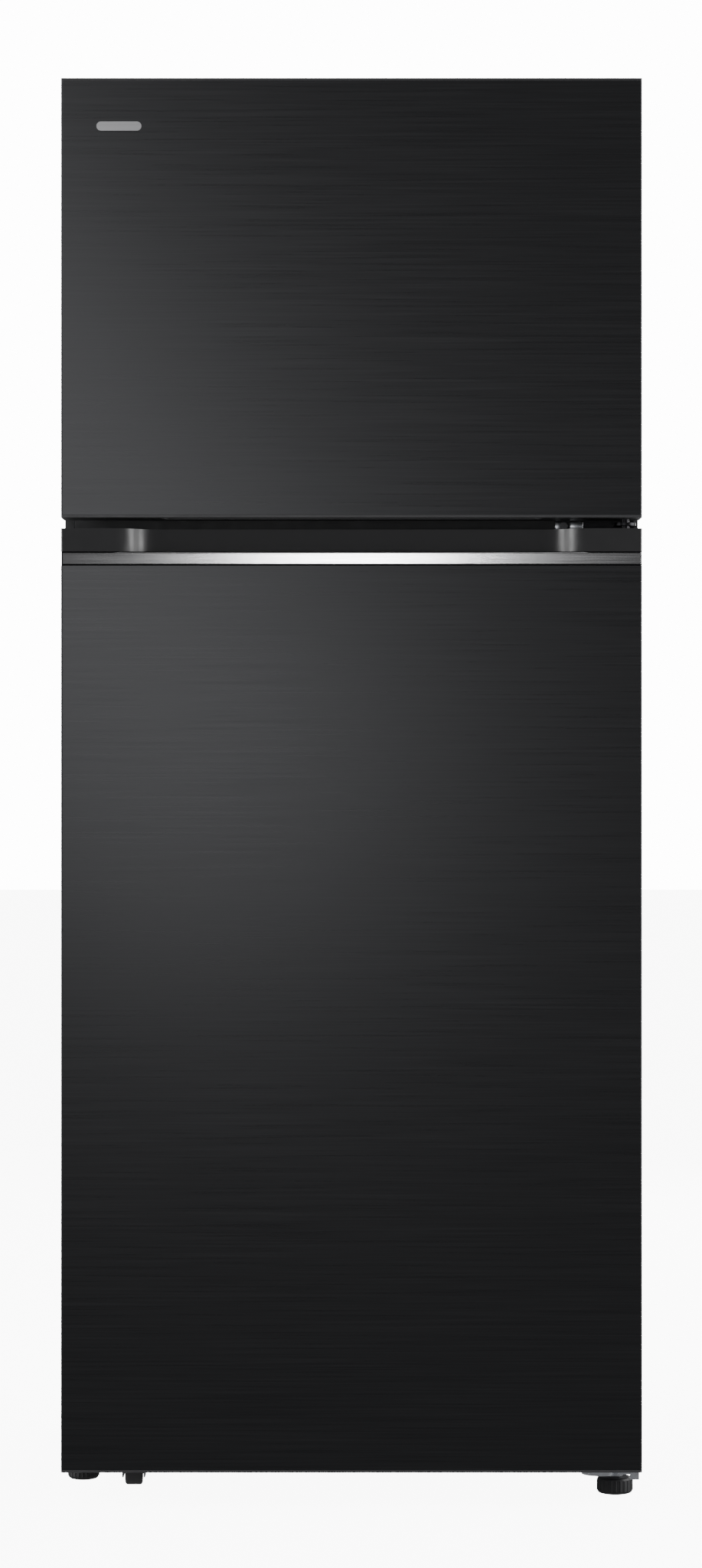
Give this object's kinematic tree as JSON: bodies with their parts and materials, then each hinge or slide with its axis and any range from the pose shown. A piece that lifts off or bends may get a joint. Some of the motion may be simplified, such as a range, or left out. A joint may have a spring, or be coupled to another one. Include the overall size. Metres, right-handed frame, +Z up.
{
  "type": "top freezer refrigerator",
  "caption": "Tall free-standing refrigerator with a small freezer door above a large fridge door, both hinged on the right, with a grip recess between them.",
  "frame": {"origin": "on the floor under the middle of the bounding box", "axes": "+Z up, -Y towards a person in front of the doors, +X towards the hinge side"},
  "size_m": [0.7, 0.69, 1.72],
  "materials": {
    "case_paint": "satin dark grey paint",
    "zinc_steel": "galvanised sheet",
    "foam": "rigid polyurethane foam",
    "liner_plastic": "vacuum formed, slight gloss",
    "hinge_steel": "zinc plated",
    "screw_steel": "zinc plated",
    "black_plastic": "fine texture",
    "black_sheet": "matt powder coat",
    "compressor_paint": "gloss black enamel",
    "copper_steel": "copper coated tube",
    "grey_plastic": "fine texture",
    "evaporator_aluminium": "bare",
    "clear_glass": "clear tempered",
    "white_plastic": "satin",
    "lamp_plastic": "opal",
    "clear_plastic": "clear",
    "ice_blue_plastic": "translucent",
    "black_steel": "horizontally brushed black steel",
    "dark_plastic": "glossy dark grey",
    "gasket_rubber": "soft vinyl",
    "badge_metal": "satin, blank",
    "bright_strip": "brushed"
  },
  "bodies": {
    "cabinet": {"outer_case": "case_paint", "back_panel": "zinc_steel", "insulation_foam": "foam", "freezer_liner": "liner_plastic", "fridge_liner": "liner_plastic", "mullion_cover": "case_paint", "base_frame": "zinc_steel", "compressor_base": "zinc_steel", "top_hinge": "hinge_steel", "hinge_cover": "black_plastic", "middle_hinge": "hinge_steel", "lower_hinge": "hinge_steel", "hinge_screws": "screw_steel", "machine_cover": "black_sheet", "compressor": "compressor_paint", "condenser": "copper_steel", "condenser_motor": "black_sheet", "drain_pan": "grey_plastic", "board_cover": "zinc_steel", "evaporator_motor": "black_plastic", "evaporator": "evaporator_aluminium", "evaporator_cover": "liner_plastic", "freezer_shelf": "clear_glass", "ice_maker_frame": "white_plastic", "air_duct": "white_plastic", "lamp_lens": "lamp_plastic", "control_housing": "white_plastic", "glass_shelf_upper": "clear_glass", "glass_shelf_lower": "clear_glass", "crisper_cover": "clear_glass", "shelf_trims": "white_plastic"},
    "freezer_door": {"freezer_door_skin": "black_steel", "freezer_door_top_cap": "dark_plastic", "freezer_door_grip": "dark_plastic", "freezer_door_foam": "foam", "freezer_door_liner": "liner_plastic", "freezer_door_gasket": "gasket_rubber", "freezer_door_bins": "clear_plastic", "badge": "badge_metal"},
    "fridge_door": {"fridge_door_skin": "black_steel", "fridge_door_grip": "dark_plastic", "fridge_door_strip": "bright_strip", "fridge_door_bottom_cap": "dark_plastic", "fridge_door_foam": "foam", "fridge_door_liner": "liner_plastic", "fridge_door_gasket": "gasket_rubber", "fridge_door_bins": "clear_plastic"},
    "crisper_drawer": {"crisper_drawer": "clear_plastic"},
    "chill_drawer": {"chill_drawer": "clear_plastic"},
    "ice_bin": {"ice_bin": "clear_plastic"},
    "ice_tray": {"ice_tray": "ice_blue_plastic"},
    "evaporator_fan": {"evaporator_fan": "white_plastic"},
    "condenser_fan": {"condenser_fan": "black_plastic"},
    "foot_left": {"foot_left": "black_plastic"},
    "foot_right": {"foot_right": "black_plastic"},
    "front_roller": {"front_roller": "grey_plastic"},
    "rear_roller_left": {"rear_roller_left": "grey_plastic"},
    "rear_roller_right": {"rear_roller_right": "grey_plastic"},
    "airflow_slider": {"airflow_slider": "grey_plastic"},
    "temperature_button": {"temperature_button": "grey_plastic"}
  },
  "joints": [
    {"name": "freezer_door_hinge", "type": "hinge", "parent": "cabinet", "child": "freezer_door", "pos_m": [0.332, -0.3044, 1.45], "axis": [0, 0, 1], "range_deg": [0, 120]},
    {"name": "fridge_door_hinge", "type": "hinge", "parent": "cabinet", "child": "fridge_door", "pos_m": [0.332, -0.3044, 0.6], "axis": [0, 0, 1], "range_deg": [0, 120]},
    {"name": "crisper_drawer_slide", "type": "slide", "parent": "cabinet", "child": "crisper_drawer", "axis": [0, -1, 0], "range_m": [0, 0.2]},
    {"name": "chill_drawer_slide", "type": "slide", "parent": "cabinet", "child": "chill_drawer", "axis": [0, -1, 0], "range_m": [0, 0.2]},
    {"name": "ice_bin_slide", "type": "slide", "parent": "cabinet", "child": "ice_bin", "axis": [0, -1, 0], "range_m": [0, 0.11]},
    {"name": "ice_tray_twist", "type": "hinge", "parent": "cabinet", "child": "ice_tray", "pos_m": [-0.21, -0.08, 1.56], "axis": [0, 1, 0], "range_deg": [0, 100], "stiffness_Nm_per_rad": 0.4},
    {"name": "evaporator_fan_spin", "type": "hinge", "parent": "cabinet", "child": "evaporator_fan", "pos_m": [0, 0.236, 1.545], "axis": [0, 1, 0], "continuous": true},
    {"name": "condenser_fan_spin", "type": "hinge", "parent": "cabinet", "child": "condenser_fan", "pos_m": [0.0125, 0.25, 0.155], "axis": [1, 0, 0], "continuous": true},
    {"name": "foot_left_height", "type": "slide", "parent": "cabinet", "child": "foot_left", "axis": [0, 0, 1], "range_m": [-0.018, 0]},
    {"name": "foot_right_height", "type": "slide", "parent": "cabinet", "child": "foot_right", "axis": [0, 0, 1], "range_m": [-0.01, 0.006]},
    {"name": "front_roller_spin", "type": "hinge", "parent": "cabinet", "child": "front_roller", "pos_m": [-0.27, -0.178, 0.0175], "axis": [1, 0, 0], "continuous": true},
    {"name": "rear_roller_left_spin", "type": "hinge", "parent": "cabinet", "child": "rear_roller_left", "pos_m": [-0.29, 0.262, 0.0175], "axis": [1, 0, 0], "continuous": true},
    {"name": "rear_roller_right_spin", "type": "hinge", "parent": "cabinet", "child": "rear_roller_right", "pos_m": [0.29, 0.262, 0.0175], "axis": [1, 0, 0], "continuous": true},
    {"name": "airflow_slide", "type": "slide", "parent": "cabinet", "child": "airflow_slider", "axis": [1, 0, 0], "range_m": [0, 0.04]},
    {"name": "temperature_button_press", "type": "slide", "parent": "cabinet", "child": "temperature_button", "axis": [0, 1, 0], "range_m": [0, 0.0015], "stiffness_N_per_m": 500}
  ],
  "couplings": [
    {"joint": "crisper_drawer_slide", "follows": "fridge_door_hinge", "m_per_rad": 0.095},
    {"joint": "chill_drawer_slide", "follows": "fridge_door_hinge", "m_per_rad": 0.095}
  ]
}
